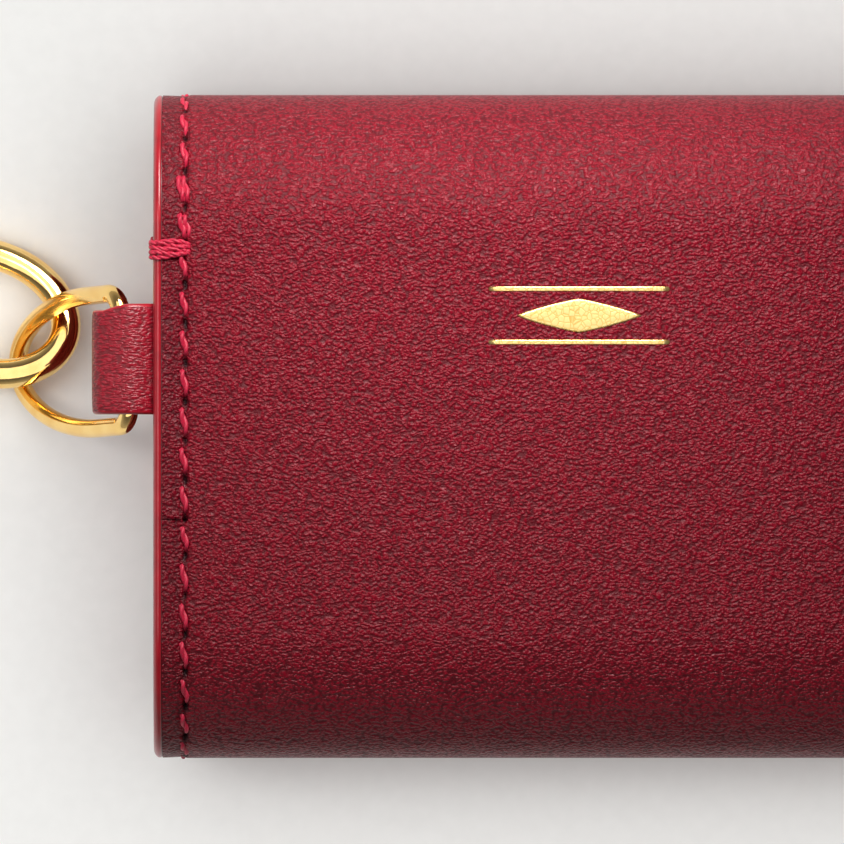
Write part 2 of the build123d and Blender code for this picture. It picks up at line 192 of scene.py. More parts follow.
def grained_leather(name, light, deep, cell=0.30, depth=0.16, rough=0.36, lay=(1.35, 1.0, 1.0),
                    shine=0.26):
    """cell is the grain's width and depth its height in mm; lay draws it out along each axis."""
    material, tree, surface = finish(name, IOR=1.48, Specular_IOR_Level=shine)
    here = millimetres(tree, lay)
    drift = add(tree, "ShaderNodeTexNoise", {"Scale": 1.1, "Detail": 3.0}, {"Vector": here})
    off = add(tree, "ShaderNodeVectorMath", {1: (0.5, 0.5, 0.5)},
              {0: drift.outputs["Color"]}, operation="SUBTRACT")
    bent = add(tree, "ShaderNodeVectorMath", {1: (0.6, 0.6, 0.6)},
               {0: off.outputs["Vector"], 2: here}, operation="MULTIPLY_ADD")
    where = bent.outputs["Vector"]
    # grain: rounded cells, with pores on them and long creases under them
    cells = add(tree, "ShaderNodeTexVoronoi",
                {"Scale": 1 / cell, "Smoothness": 0.85, "Randomness": 1.0},
                {"Vector": where}, feature="SMOOTH_F1")
    bumps = add(tree, "ShaderNodeMapRange", {"From Min": 0.15, "From Max": 0.75,
                                            "To Min": 1.0, "To Max": 0.0},
                {"Value": cells.outputs["Distance"]}, interpolation_type="SMOOTHSTEP")
    pores = add(tree, "ShaderNodeTexNoise",
                {"Scale": 2.0 / cell, "Detail": 2.0, "Roughness": 0.5}, {"Vector": where})
    wide = millimetres(tree, (1.5, 3.2, 2.0))
    creases = add(tree, "ShaderNodeTexNoise",
                  {"Scale": 1.7, "Detail": 3.0, "Roughness": 0.6, "Distortion": 0.8},
                  {"Vector": wide})
    ridge = add(tree, "ShaderNodeMapRange", {"From Min": 0.36, "From Max": 0.62},
                {"Value": creases.outputs["Fac"]}, interpolation_type="SMOOTHSTEP")
    fine = add(tree, "ShaderNodeMath", {1: 0.6},
               {0: pores.outputs["Fac"], 2: bumps.outputs["Result"]}, operation="MULTIPLY_ADD")
    height = add(tree, "ShaderNodeMath", {1: 0.5},
                 {0: ridge.outputs["Result"], 2: fine.outputs["Value"]}, operation="MULTIPLY_ADD")
    bump = add(tree, "ShaderNodeBump", {"Strength": 0.8, "Distance": depth * MM},
               {"Height": height.outputs["Value"]})
    # colour and gloss follow the fine grain, with painted shade darkening the valleys;
    # the mesh's shade value paints shade into holes and grooves
    tone = add(tree, "ShaderNodeMapRange", {"From Min": 0.3, "From Max": 1.35},
               {"Value": fine.outputs["Value"]})
    colour = add(tree, "ShaderNodeValToRGB", None, {"Fac": tone.outputs["Result"]},
                 stops=((0.0, deep), (0.8, light)))
    shade = add(tree, "ShaderNodeAttribute", attribute_name="shade")
    dark = add(tree, "ShaderNodeMix", {7: linear("#180004")},
               {0: shade.outputs["Fac"], 6: colour.outputs["Color"]}, data_type="RGBA")
    gloss = add(tree, "ShaderNodeMapRange", {"To Min": rough + 0.12, "To Max": rough - 0.06},
                {"Value": tone.outputs["Result"]})
    connect(tree, surface, Base_Color=dark.outputs[2], Roughness=gloss.outputs["Result"],
            Normal=bump.outputs["Normal"])
    return material


calf = grained_leather("calf_leather_drum_dyed", "#7E041C", "#520110")
strap = grained_leather("calf_leather_pared_strap", "#940A22", "#6A0414", cell=0.26, depth=0.08,
                        rough=0.34, lay=(2.2, 0.9, 2.2), shine=0.5)
print("made", calf.name, strap.name)

# %% [markdown]
# ### Painted edges
#
# Every cut edge of the leather is brushed with several coats of acrylic edge paint, sanded and
# warmed, so it is smooth, rounded and glossier than the leather, with only slow waves in it.

# %% Edge paint material


def edge_paint():
    material, tree, surface = finish("acrylic_edge_paint_brushed", Roughness=0.3, IOR=1.49,
                                     Coat_Weight=0.25, Coat_Roughness=0.2)
    here = millimetres(tree)
    waves = add(tree, "ShaderNodeTexNoise", {"Scale": 0.45, "Detail": 3.0}, {"Vector": here})
    colour = add(tree, "ShaderNodeValToRGB", None, {"Fac": waves.outputs["Fac"]},
                 stops=((0.3, "#8C0818"), (0.7, "#A61022")))
    bump = add(tree, "ShaderNodeBump", {"Strength": 0.35, "Distance": 0.08 * MM},
               {"Height": waves.outputs["Fac"]})
    # the mesh's shade value paints shade into the groove beside the leather
    shade = add(tree, "ShaderNodeAttribute", attribute_name="shade")
    dark = add(tree, "ShaderNodeMix", {7: linear("#2A0208")},
               {0: shade.outputs["Fac"], 6: colour.outputs["Color"]}, data_type="RGBA")
    connect(tree, surface, Base_Color=dark.outputs[2], Normal=bump.outputs["Normal"])
    return material


paint = edge_paint()
print("made", paint.name)

# %% [markdown]
# ### Lining
#
# The inside is goat suede, split and buffed: matte, a little lighter where its nap catches the
# light, with a fine short fibre texture instead of grain.

# %% Lining material


def suede():
    material, tree, surface = finish("goat_suede_buffed", Roughness=0.85, IOR=1.45,
                                     Sheen_Weight=0.25, Sheen_Roughness=0.5,
                                     Sheen_Tint=linear("#E07080"))
    here = millimetres(tree)
    nap = add(tree, "ShaderNodeTexNoise", {"Scale": 3.2, "Detail": 6.0, "Roughness": 0.7},
              {"Vector": here})
    brushed = add(tree, "ShaderNodeTexNoise", {"Scale": 0.12, "Detail": 2.0}, {"Vector": here})
    both = add(tree, "ShaderNodeMath", {1: 0.5},
               {0: brushed.outputs["Fac"], 2: nap.outputs["Fac"]}, operation="MULTIPLY_ADD")
    colour = add(tree, "ShaderNodeValToRGB", None, {"Fac": both.outputs["Value"]},
                 stops=((0.45, "#560510"), (0.95, "#7E1220")))
    bump = add(tree, "ShaderNodeBump", {"Strength": 0.5, "Distance": 0.05 * MM},
               {"Height": nap.outputs["Fac"]})
    connect(tree, surface, Base_Color=colour.outputs["Color"], Normal=bump.outputs["Normal"])
    return material


lining = suede()
print("made", lining.name)

# %% [markdown]
# ### Thread
#
# Two-ply polyester sewing thread, dyed a pinker red than the leather and lightly waxed. The
# twist of the plies is real geometry; the material adds the finer filaments that run along it.

# %% Thread material


def waxed_thread():
    material, tree, surface = finish("polyester_thread_waxed", Roughness=0.5, IOR=1.5,
                                     Sheen_Weight=0.15, Sheen_Tint=linear("#FF9AAA"))
    strand = add(tree, "ShaderNodeUVMap", uv_map="UVMap")
    turned = add(tree, "ShaderNodeMapping", {"Scale": (9.0, 2.2, 1.0)},
                 {"Vector": strand.outputs["UV"]})
    fibres = add(tree, "ShaderNodeTexNoise", {"Scale": 1.6, "Detail": 3.0},
                 {"Vector": turned.outputs["Vector"]})
    colour = add(tree, "ShaderNodeValToRGB", None, {"Fac": fibres.outputs["Fac"]},
                 stops=((0.3, "#98082A"), (0.75, "#D21C44")))
    bump = add(tree, "ShaderNodeBump", {"Strength": 0.6, "Distance": 0.04 * MM},
               {"Height": fibres.outputs["Fac"]})
    connect(tree, surface, Base_Color=colour.outputs["Color"], Normal=bump.outputs["Normal"])
    return material


thread = waxed_thread()
print("made", thread.name)

# %% [markdown]
# ### Metals and foil
#
# The rings are brass wire, polished and plated with pale gold, so they mirror their
# surroundings with only hair-fine polishing lines. The pin and spring are nickelled steel. The
# ornament is hot-stamped metal foil: less even than plating, because it lies over the grain.

# %% Metal materials


def plated(name, light, deep, rough):
    material, tree, surface = finish(name, Metallic=1.0, Roughness=rough)
    here = millimetres(tree)
    cloud = add(tree, "ShaderNodeTexNoise", {"Scale": 0.35, "Detail": 3.0}, {"Vector": here})
    lines = add(tree, "ShaderNodeTexNoise", {"Scale": 6.0, "Detail": 4.0}, {"Vector": here})
    colour = add(tree, "ShaderNodeValToRGB", None, {"Fac": cloud.outputs["Fac"]},
                 stops=((0.35, deep), (0.65, light)))
    gloss = add(tree, "ShaderNodeMapRange", {"To Min": rough, "To Max": rough + 0.07},
                {"Value": lines.outputs["Fac"]})
    bump = add(tree, "ShaderNodeBump", {"Strength": 0.06, "Distance": 0.01 * MM},
               {"Height": lines.outputs["Fac"]})
    connect(tree, surface, Base_Color=colour.outputs["Color"],
            Roughness=gloss.outputs["Result"], Normal=bump.outputs["Normal"])
    return material


gold = plated("brass_wire_gold_plated", "#FFDA8E", "#F6CA7C", 0.06)
nickel = plated("steel_nickel_plated", "#C9C6C0", "#B4B1AB", 0.2)


def stamped_foil():
    material, tree, surface = finish("gold_foil_hot_stamped", Metallic=1.0, Roughness=0.3)
    here = millimetres(tree)
    grain = add(tree, "ShaderNodeTexVoronoi", {"Scale": 1.6}, {"Vector": here},
                feature="DISTANCE_TO_EDGE")
    top = add(tree, "ShaderNodeMapRange", {"From Max": 0.2}, {"Value": grain.outputs["Distance"]})
    colour = add(tree, "ShaderNodeValToRGB", None, {"Fac": top.outputs["Result"]},
                 stops=((0.0, "#C29A50"), (0.5, "#DCC07E")))
    bump = add(tree, "ShaderNodeBump", {"Strength": 0.35, "Distance": 0.03 * MM},
               {"Height": top.outputs["Result"]})
    connect(tree, surface, Base_Color=colour.outputs["Color"], Normal=bump.outputs["Normal"])
    return material


foil = stamped_foil()
print("made", gold.name, nickel.name, foil.name)

# %% [markdown]
# ## The wrap's side line
#
# Seen from the side, the wrap is a stadium: flat back, a fold at each end made of a large arc
# beside the flats and a smaller arc at the nose, then the flap below and the front inside it.
# A path made of lines and arcs gives, at any length along it, the point and the outward
# direction. Leather, stitches and gussets all follow these same paths.

# %% Paths made of lines and arcs


class Path:
    """Lines ("line", a, b) and arcs ("arc", centre, radius, from, to) in the Y-Z plane."""

    def __init__(self, parts, side):
        self.side, self.parts, s = side, [], 0.0
        for part in parts:
            if part[0] == "line":
                length = math.dist(part[1], part[2])
            else:
                length = part[2] * abs(math.radians(part[4] - part[3]))
            self.parts.append((s, length, part))
            s += length
        self.length = s

    def at(self, s):
        """y, z, and the outward direction's y and z at length s; straight on past the ends."""
        for start, length, part in self.parts:
            if s <= start + length:
                break
        t = s - start
        if part[0] == "line":
            (ay, az), (by, bz) = part[1], part[2]
            dy, dz = (by - ay) / length, (bz - az) / length
            return ay + dy * t, az + dz * t, -dz * self.side, dy * self.side
        (cy, cz), r, a, b = part[1:]
        angle = math.radians(a + (b - a) * t / length)
        return (cy + r * math.cos(angle), cz + r * math.sin(angle),
                math.cos(angle), math.sin(angle))


def fold(z_low, z_high, nose):
    """Small radius, its centre's y and the y where the flats begin."""
    half, k = (z_high - z_low) / 2, math.sin(math.radians(45))
    small = (half - BIG * (1 - k)) / k
    way = 1 if nose > 0 else -1
    return small, nose - way * small, nose - way * (BIG * k + small * (1 - k))


small_t, nose_t, flat_t = fold(0, Z_BACK, NOSE_TOP)
small_b, nose_b, flat_b = fold(Z_FRONT, Z_BACK, NOSE_BOTTOM)
mid_t, mid_b = Z_BACK / 2, (Z_BACK + Z_FRONT) / 2
upper = Path([
    ("line", (CUT_Y, Z_BACK), (flat_t, Z_BACK)),
    ("arc", (flat_t, Z_BACK - BIG), BIG, 90, 45),
    ("arc", (nose_t, mid_t), small_t, 45, -45),
    ("arc", (flat_t, BIG), BIG, -45, -90),
    ("line", (flat_t, 0), (FLAP_END, 0))], 1)
lower = Path([
    ("line", (CUT_Y, Z_BACK), (flat_b, Z_BACK)),
    ("arc", (flat_b, Z_BACK - BIG), BIG, 90, 135),
    ("arc", (nose_b, mid_b), small_b, 135, 225),
    ("arc", (flat_b, Z_FRONT + BIG), BIG, 225, 270),
    ("line", (flat_b, Z_FRONT), (MOUTH, Z_FRONT))], -1)
print("upper half", round(upper.length, 1), "mm, lower half", round(lower.length, 1), "mm")

# %% [markdown]
# ## Leather bands
#
# Wrap and dividers are bands: a strip of leather that follows a path, with a good side, a
# painted rolled rim and a lined side. One function lays a grid along the path for each side and
# joins them with rings that follow the rim's rounded section. The good side is pressed in by a
# function of width and length, which is how stitches bed into the leather.

# %% Mesh helpers


def new_piece(name, vertices, faces, materials, index=None, shade=None, crisp=()):
    """A mesh object at the origin from points in millimetres, its faces turned outwards."""
    mesh = bpy.data.meshes.new(name)
    mesh.from_pydata([tuple(c * MM for c in v) for v in vertices], [], faces)
    for material in materials:
        mesh.materials.append(material)
    if index is not None:
        mesh.polygons.foreach_set("material_index", index)
    if shade is not None:
        layer = mesh.attributes.new("shade", "FLOAT", "POINT")
        layer.data.foreach_set("value", shade)
    made = bmesh.new()
    made.from_mesh(mesh)
    bmesh.ops.recalc_face_normals(made, faces=made.faces)
    made.to_mesh(mesh)
    made.free()
    mesh.polygons.foreach_set("use_smooth", [True] * len(mesh.polygons))
    crisp = {tuple(sorted(pair)) for pair in crisp}
    for edge in mesh.edges:
        if crisp and tuple(sorted(edge.vertices)) in crisp:
            edge.use_edge_sharp = True
    piece = bpy.data.objects.new(name, mesh)
    bpy.context.scene.collection.objects.link(piece)
    return piece


def sheet_faces(base, rows, columns):
    """Quads of a grid whose points start at base, row after row."""
    quads = []
    for i in range(rows - 1):
        for k in range(columns - 1):
            a = base + i * columns + k
            quads.append((a, a + 1, a + columns + 1, a + columns))
    return quads


def sleeve_faces(base, rings, sides, closed=False):
    """Quads between rings of points that follow each other; closed joins the last to the first."""
    quads = []
    for i in range(rings if closed else rings - 1):
        a, b = base + i * sides, base + (i + 1) % rings * sides
        for k in range(sides):
            m = (k + 1) % sides
            quads.append((a + k, a + m, b + m, b + k))
    return quads


def lids(base, rings, sides):
    """The two end faces of a sleeve."""
    last = base + (rings - 1) * sides
    return [tuple(range(base + sides - 1, base - 1, -1)), tuple(range(last, last + sides))]


print("a lidded tube of 3 rings of 8 has", len(sleeve_faces(0, 3, 8) + lids(0, 3, 8)), "faces")

# %% Rim section and band maker


def rim_section(thick, reach):
    """(outward, depth, shade) from the good side round the painted rim to the lined side."""
    r = thick / 2
    # the groove between the leather and the paint bead gets painted shade
    section = [(0.08, 0.05, 0.0), (0.13, 0.17, 0.8), (0.19, 0.20, 0.9), (0.25, 0.10, 0.1)]
    for k in range(1, 10):
        a = math.pi * (0.5 - k / 10)
        section.append((0.25 + (reach - 0.25) * math.cos(a), r - (r - 0.02) * math.sin(a), 0.0))
    section.append((0.1, thick - 0.01, 0.0))
    return section


def band(name, path, x_list, s_list, thick, press, rim, corner, materials, cut_start=True):
    """Closed leather strip along a path. x_list and s_list are the good side's grid lines."""
    nx, ns = len(x_list), len(s_list)
    wide, last = x_list[-1], s_list[-1]

    def width(s):
        into = s - (last - corner)
        if into <= 0:
            return 1.0
        return (wide - corner + math.sqrt(max(corner**2 - min(into, corner) ** 2, 0))) / wide

    def point(x, s, depth):
        y, z, ny, nz = path.at(s)
        return (x, y - ny * depth, z - nz * depth)

    grid = [[(x * width(s), s) for x in x_list] for s in s_list]
    vertices, shade, faces, index = [], [], [], []
    for row in grid:
        for x, s in row:
            depth, dark = press(x, s)
            vertices.append(point(x, s, depth))
            shade.append(dark)
    loop = ([(i, 0) for i in range(ns)] + [(ns - 1, j) for j in range(1, nx)]
            + [(i, nx - 1) for i in range(ns - 2, -1, -1)]
            + [(0, j) for j in range(nx - 2, 0, -1)])
    n = len(loop)
    rings = [[i * nx + j for i, j in loop]]
    places = [grid[i][j] for i, j in loop]
    for out, depth, dark in rim:
        ring = []
        for k, (i, j) in enumerate(loop):
            (xa, sa), (xb, sb) = places[k - 1], places[(k + 1) % n]
            nx_, ns_ = -(sb - sa), (xb - xa)
            size = math.hypot(nx_, ns_) or 1.0
            nx_, ns_ = nx_ / size, ns_ / size
            if cut_start and i == 0:
                nx_, ns_ = (math.copysign(1, grid[i][j][0]) if j in (0, nx - 1) else 0.0), 0.0
            start = press(*grid[i][j])[0]
            x, s = places[k]
            lift = start * max(0.0, 1 - out / 0.24)
            ring.append(len(vertices))
            vertices.append(point(x + nx_ * out, s + ns_ * out, max(depth, lift)))
            shade.append(0.0 if cut_start and i == 0 and 0 < j < nx - 1 else dark)
        rings.append(ring)
    inner = len(vertices)
    for row in grid:
        for x, s in row:
            vertices.append(point(x, s, thick))
            shade.append(0.0)
    rings.append([inner + i * nx + j for i, j in loop])
    for base, mat in ((0, 0), (inner, 2)):
        faces += sheet_faces(base, ns, nx)
        index += [mat] * ((ns - 1) * (nx - 1))
    for r in range(len(rings) - 1):
        for k in range(n):
            m = (k + 1) % n
            faces.append((rings[r][k], rings[r][m], rings[r + 1][m], rings[r + 1][k]))
            index.append(0 if r < 2 else 1)
    crisp = []
    if cut_start:
        crisp = [(j, j + 1) for j in range(nx - 1)]
        crisp += [(inner + j, inner + j + 1) for j in range(nx - 1)]
        for end in (0, nx - 1):
            k = loop.index((0, end))
            crisp += [(rings[r][k], rings[r + 1][k]) for r in range(len(rings) - 1)]
    return new_piece(name, vertices, faces, materials, index, shade, crisp)


def spaced(low, high, step):
    count = max(1, round((high - low) / step))
    return [low + (high - low) * k / count for k in range(count)]


RIM = 1.1
INSET = HALF_W - RIM
half_list = (spaced(0, 11, 0.9) + spaced(11, 39, 1.4) + spaced(39, 43.2, 0.45)
             + spaced(43.2, 46.0, 0.2) + spaced(46.0, INSET, 0.35) + [INSET])
WRAP_X = sorted({-x for x in half_list} | set(half_list))
print("grid lines across the wrap", len(WRAP_X))

# %% [markdown]
# ## Stitch places
#
# Holes are punched every 4.4 mm along the seam. Each stitch leans a little, lies on the leather
# and then dives into its holes, so the leather is pressed under the thread and drawn into a
# pit between stitches, which is painted dark as shade. Length, place and pits vary slightly, as
# they do by hand, from a fixed seed.

# %% Stitch list and the pressed surface
rng = np.random.default_rng(7)


def stitches_along(end_s):
    """(side, middle's length, stretch, sideways shift) for both sides of a half wrap."""
    rows = []
    for side in (-1, 1):
        k = 0
        while (k + 1) * PITCH <= end_s:
            vary = rng.standard_normal(3)
            rows.append((side, (k + 0.5) * PITCH, 1 + 0.05 * vary[1], 0.06 * vary[2]))
            k += 1
    return rows


UP_END = upper.length - SEAM_IN
LOW_END = lower.length - SEAM_IN
TACK_S = 7 * PITCH - 0.4     # tack at the pocket's mouth on the back
TACK_F = lower.length - 1.3  # and on the front
up_rows = stitches_along(UP_END)
low_rows = stitches_along(LOW_END)


def soft(t):
    """Smooth step from 0 to 1."""
    t = min(1.0, max(0.0, t))
    return t * t * (3 - 2 * t)


pit_size = rng.uniform(0.7, 1.15, 64)


def row_press(off, s, slant, tight=1.0):
    """Depth and shade across a stitched row; off is the distance outwards from the stitch
    line, s the length along it. The inner leather swells up to the thread and falls in a
    scalloped step to the flatter strip outside."""
    hole = round(s / PITCH)
    mid = (math.floor(s / PITCH) + 0.5) * PITCH
    t = (s - mid) / (PITCH / 2)
    lean = slant * (s - mid)
    wall = off + 0.12 + 0.30 * (1 - t * t) * tight - 0.6 * lean
    if wall < 0:
        depth = 0.05 * (1 - math.exp(-((wall / 1.3) ** 2)))
    else:
        depth = 0.36 * soft(wall / 0.32) - 0.16 * soft((off - 0.6) / 1.7)
    bed = math.exp(-(((off - lean) / 0.45) ** 2) - (max(0.0, abs(s - mid) - 1.0) / 0.4) ** 2)
    size = pit_size[hole % 64]
    pit = math.exp(-(((off + 0.12) / (0.30 * size)) ** 2)
                   - ((s - hole * PITCH - 0.5 * off) / (0.62 * size)) ** 2)
    # the second value is painted shade in each hole's pit; the strip outside the seam is darkened a
    # little
    return depth + 0.22 * bed + 0.75 * pit, min(1.0, 1.4 * pit) + 0.22 * soft((off - 0.2) / 0.5)


def seam_press(x, s, rows_end, way, tack):
    """Depth and shade of the leather beside a side seam."""
    ax = abs(x)
    if ax < SEAM - 5:
        return 0.05, 0.0
    if s > rows_end + 2.2:
        return 0.05, 0.0
    depth, dark = row_press(ax - SEAM, s, 0.30 * way * math.copysign(1, x))
    if ax > SEAM - 0.9 and abs(s - tack) < 2.0:
        depth += 0.16 * math.exp(-(((s - tack) / 1.1) ** 4))
    return depth, dark


def end_press(x, s, line):
    """Depth and shade beside a row of stitches that runs across the end."""
    if abs(x) > SEAM + 0.2:
        return 0.2, 0.1
    return row_press(s - line, x + SEAM, 0.0, 0.6)


def press_half(path, way, tack):
    line = path.length - SEAM_IN

    def press(x, s):
        side = seam_press(x, s, line, way, tack)
        if s < line - 4:
            keep = 0.3 + 0.7 * abs(path.at(s)[3])
            return side[0] * keep, side[1]
        end = end_press(x, s, line)
        return max(side[0], end[0]), max(side[1], end[1])

    return press


press_up = press_half(upper, -1, TACK_S)
press_low = press_half(lower, 1, TACK_F)
print("stitches on the side seams", len(up_rows) + len(low_rows))

# %% [markdown]
# ## The wrap
#
# The wrap is made in two halves that meet on the flat of the back, where both lie still and
# their surfaces match exactly, so the join can't be seen. The upper half bends from the back to
# the flap over the whole top fold, and the lower half from the back to the front.

# %% Upper and lower halves of the wrap


def rows_for(length, ends):
    steps = [0, 0.22, 0.45, 0.75, 1.15, 1.6, 2.2, 2.8, 3.25, 3.65, 3.95, 4.18]
    rows, k = [], 0
    while k * PITCH < ends - PITCH:
        rows += [k * PITCH + t for t in steps]
        k += 1
    start = k * PITCH
    rows += spaced(start, length - RIM, 0.3) + [length - RIM]
    return rows


skins = [calf, paint, lining]
rim_wrap = rim_section(WRAP, RIM)
wrap_upper = band("wrap_upper", upper, WRAP_X, rows_for(upper.length, UP_END - 2), WRAP, press_up,
                  rim_wrap, 3.0, skins)
wrap_lower = band("wrap_lower", lower, WRAP_X, rows_for(lower.length, LOW_END - 2), WRAP,
                  press_low, rim_wrap, 0.9, skins)
for piece in (wrap_upper, wrap_lower):
    print(piece.name, len(piece.data.polygons), "faces")

# %% [markdown]
# ## Stitches
#
# One stitch is two plies twisted round each other, thick in the middle and diving at both ends.
# Geometry Nodes set a copy on every seam point, turned along the seam and away from the
# leather; the tree's inputs are the stitch, its thickness and its material. The result is made
# a plain mesh, one for each half of the wrap.

# %% One stitch


def tube(points, radii, sides, turns_uv=1.0):
    """Vertices, faces and uv of a tube along points, closed at both ends."""
    points = [Vector(p) for p in points]
    vertices, uvs = [], []
    side = Vector((0, 0, 1))
    for i, p in enumerate(points):
        a, b = points[max(i - 1, 0)], points[min(i + 1, len(points) - 1)]
        t = (b - a).normalized()
        u = (side - t * side.dot(t)).normalized()
        v = t.cross(u)
        side = u
        for k in range(sides):
            w = 2 * math.pi * k / sides
            vertices.append(p + (u * math.cos(w) + v * math.sin(w)) * radii[i])
            uvs.append((k / sides, i / (len(points) - 1) * turns_uv))
    faces = sleeve_faces(0, len(points), sides) + lids(0, len(points), sides)
    return vertices, faces, uvs


def tubes_piece(name, runs, material):
    """Several tubes as one mesh with a UV map that runs along each of them."""
    vertices, faces, uvs = [], [], []
    for points, radii, sides, turns in runs:
        v, f, uv = tube(points, radii, sides, turns)
        base = len(vertices)
        vertices += v
        uvs += uv
        faces += [tuple(base + i for i in face) for face in f]
    piece = new_piece(name, vertices, faces, [material])
    layer = piece.data.uv_layers.new(name="UVMap")
    for loop in piece.data.loops:
        layer.data[loop.index].uv = uvs[loop.vertex_index]
    return piece


def stitch_runs(length=3.6, ply=0.26, sweep=0.32):
    """Two plies of a stitch that dives at both ends; sweep is how far it leans."""
    runs = []
    for phase in (0.0, math.pi):
        points, radii = [], []
        for k in range(15):
            t = -1 + 2 * k / 14
            x = t * length / 2
            down = 0.95 * max(0.0, (abs(t) - 0.5) / 0.5) ** 1.6
            reach = 0.20 * (1 - 0.3 * abs(t))
            turn = phase + t * 3.4
            points.append((x, reach * math.cos(turn) + sweep * x * (1 - 0.4 * abs(t)),
                           reach * math.sin(turn) - down))
            radii.append(ply * (1 - 0.35 * abs(t) ** 2))
        runs.append((points, radii, 7, 3.0))
    return runs


stitch = tubes_piece("stitch", stitch_runs(), thread)
print("stitch faces", len(stitch.data.polygons))

# %% Seam points and the node tree that sets the stitches


def seam_points(name, rows):
    """Points in the frame with the seam's direction and the outward direction stored on each."""
    mesh = bpy.data.meshes.new(name)
    mesh.from_pydata([tuple(c * MM for c in r[0]) for r in rows], [], [])
    for key, column in (("along", 1), ("out", 2)):
        layer = mesh.attributes.new(key, "FLOAT_VECTOR", "POINT")
        layer.data.foreach_set("vector", [c for r in rows for c in r[column]])
    layer = mesh.attributes.new("stretch", "FLOAT", "POINT")
    layer.data.foreach_set("value", [r[3] for r in rows])
    piece = bpy.data.objects.new(name, mesh)
    bpy.context.scene.collection.objects.link(piece)
    return piece


def stitch_tree():
    tree = bpy.data.node_groups.new("stitches_on_points", "GeometryNodeTree")
    for label, kind in (("Points", "Geometry"), ("Stitch", "Object"), ("Thickness", "Float"),
                        ("Thread", "Material")):
        tree.interface.new_socket(label, in_out="INPUT", socket_type=f"NodeSocket{kind}")
    tree.interface.new_socket("Stitches", in_out="OUTPUT", socket_type="NodeSocketGeometry")
    given = add(tree, "NodeGroupInput")
    along = add(tree, "GeometryNodeInputNamedAttribute", {"Name": "along"},
                data_type="FLOAT_VECTOR")
    out = add(tree, "GeometryNodeInputNamedAttribute", {"Name": "out"}, data_type="FLOAT_VECTOR")
    stretch = add(tree, "GeometryNodeInputNamedAttribute", {"Name": "stretch"},
                  data_type="FLOAT")
    turn = add(tree, "FunctionNodeAxesToRotation", None,
               {"Primary Axis": out.outputs["Attribute"],
                "Secondary Axis": along.outputs["Attribute"]},
               primary_axis="Z", secondary_axis="X")
    size = add(tree, "ShaderNodeCombineXYZ", None,
               {"X": stretch.outputs["Attribute"], "Y": given.outputs["Thickness"],
                "Z": given.outputs["Thickness"]})
    shape = add(tree, "GeometryNodeObjectInfo", None, {"Object": given.outputs["Stitch"]})
    placed = add(tree, "GeometryNodeInstanceOnPoints", None,
                 {"Points": given.outputs["Points"], "Instance": shape.outputs["Geometry"],
                  "Rotation": turn.outputs["Rotation"], "Scale": size.outputs["Vector"]})
    real = add(tree, "GeometryNodeRealizeInstances", None,
               {"Geometry": placed.outputs["Instances"]})
    dyed = add(tree, "GeometryNodeSetMaterial", None,
               {"Geometry": real.outputs["Geometry"], "Material": given.outputs["Thread"]})
    add(tree, "NodeGroupOutput", None, {"Stitches": dyed.outputs["Geometry"]})
    return tree


def grow(points, tree, inputs, name):
    """Run the tree on an object and keep the result as a plain mesh object."""
    modifier = points.modifiers.new("grow", "NODES")
    modifier.node_group = tree
    for item in tree.interface.items_tree:
        if item.item_type == "SOCKET" and item.in_out == "INPUT" and item.name in inputs:
            modifier[item.identifier] = inputs[item.name]
    bpy.context.view_layer.update()
    seen = points.evaluated_get(bpy.context.evaluated_depsgraph_get())
    mesh = bpy.data.meshes.new_from_object(seen)
    mesh.name = name
    piece = bpy.data.objects.new(name, mesh)
    bpy.context.scene.collection.objects.link(piece)
    bpy.data.objects.remove(points)
    return piece


def on_path(path, x, s, depth, way):
    y, z, ny, nz = path.at(s)
    tangent = (0.0, nz * path.side, -ny * path.side)
    return ((x, y - ny * depth, z - nz * depth), tuple(way * c for c in tangent), (0.0, ny, nz))


def side_rows(path, rows, bed, way, doubled=(0, 0)):
    """Side stitches as (place, along, out, stretch); they lie double between the two lengths."""
    made = []
    for side, mid, factor, shift in rows:
        twins = (-0.26, 0.3) if doubled[0] < mid < doubled[1] else (0.0,)
        for aside in twins:
            place, along, out = on_path(path, side * SEAM + shift + aside, mid,
                                        bed - 0.08 * len(twins), side * way)
            made.append((place, along, out, factor))
    return made


def end_rows(path, line, bed):
    """The row of stitches that runs across the wrap near its end."""
    made = []
    for k in range(int(round(2 * SEAM / PITCH))):
        x = -SEAM + (k + 0.5) * PITCH
        y, z, ny, nz = path.at(line)
        made.append(((x, y - ny * bed, z - nz * bed), (1.0, 0.0, 0.0), (0.0, ny, nz),
                     1 + 0.05 * rng.standard_normal()))
    return made


tree = stitch_tree()
BED = 0.40            # how deep the stitches' middles lie in the leather
inputs = {"Stitch": stitch, "Thickness": 1.0, "Thread": thread}
upper_rows = side_rows(upper, up_rows, BED, 1, (TACK_S, TACK_S + 2 * PITCH))
upper_points = seam_points("upper_points", upper_rows + end_rows(upper, UP_END, BED + 0.1))
lower_rows = side_rows(lower, low_rows, BED, 1)
lower_points = seam_points("lower_points", lower_rows + end_rows(lower, LOW_END, BED))
stitches_upper = grow(upper_points, tree, inputs, "stitches_upper")
stitches_lower = grow(lower_points, tree, inputs, "stitches_lower")
bpy.data.objects.remove(stitch)
print("stitch meshes", len(stitches_upper.data.polygons), len(stitches_lower.data.polygons))

# %% [markdown]
# ## Bar tacks
#
# At the pocket's mouth the seam is locked by six turns of thread bound round the edge, from the
# seam line over the rim and back underneath. Each turn is two thin twisted tubes; they bunch
# together at the seam and spread a little over the rim.

# %% Bar tacks


